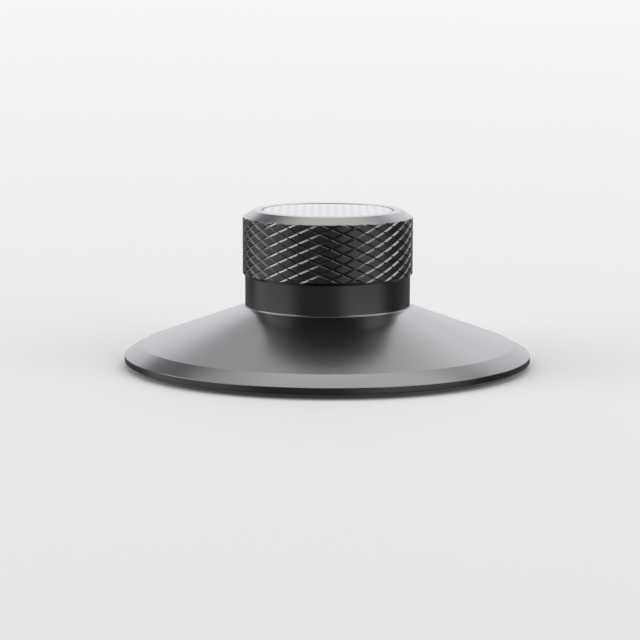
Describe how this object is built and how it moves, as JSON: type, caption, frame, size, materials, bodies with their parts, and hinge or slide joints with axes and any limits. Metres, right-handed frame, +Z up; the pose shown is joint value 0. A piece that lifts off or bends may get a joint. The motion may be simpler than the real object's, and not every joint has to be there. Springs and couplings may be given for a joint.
{
  "type": "record weight clamp",
  "caption": "Turned metal record clamp: a shallow cone on a soft ring pad, a knurled grip with a woven-fibre inlay, and a blind bore that grips a turntable spindle.",
  "frame": {"origin": "on the turning axis, in the plane of the pad's underside", "axes": "+Z up along the turning axis through the grip; -Y faces the camera of the picture"},
  "size_m": [0.082, 0.082, 0.0313],
  "materials": {
    "anodised_aluminium": "fine bead blast under black anodising, satin",
    "carbon_weave": "woven carbon fibre under a clear gloss coat",
    "pad_rubber": "matt black rubber sheet",
    "sleeve_rubber": "moulded black elastomer, slightly satin"
  },
  "bodies": {
    "root": {"clamp_body": "anodised_aluminium", "top_inlay": "carbon_weave", "rim_pad": "pad_rubber", "spindle_sleeve": "sleeve_rubber"}
  },
  "joints": []
}
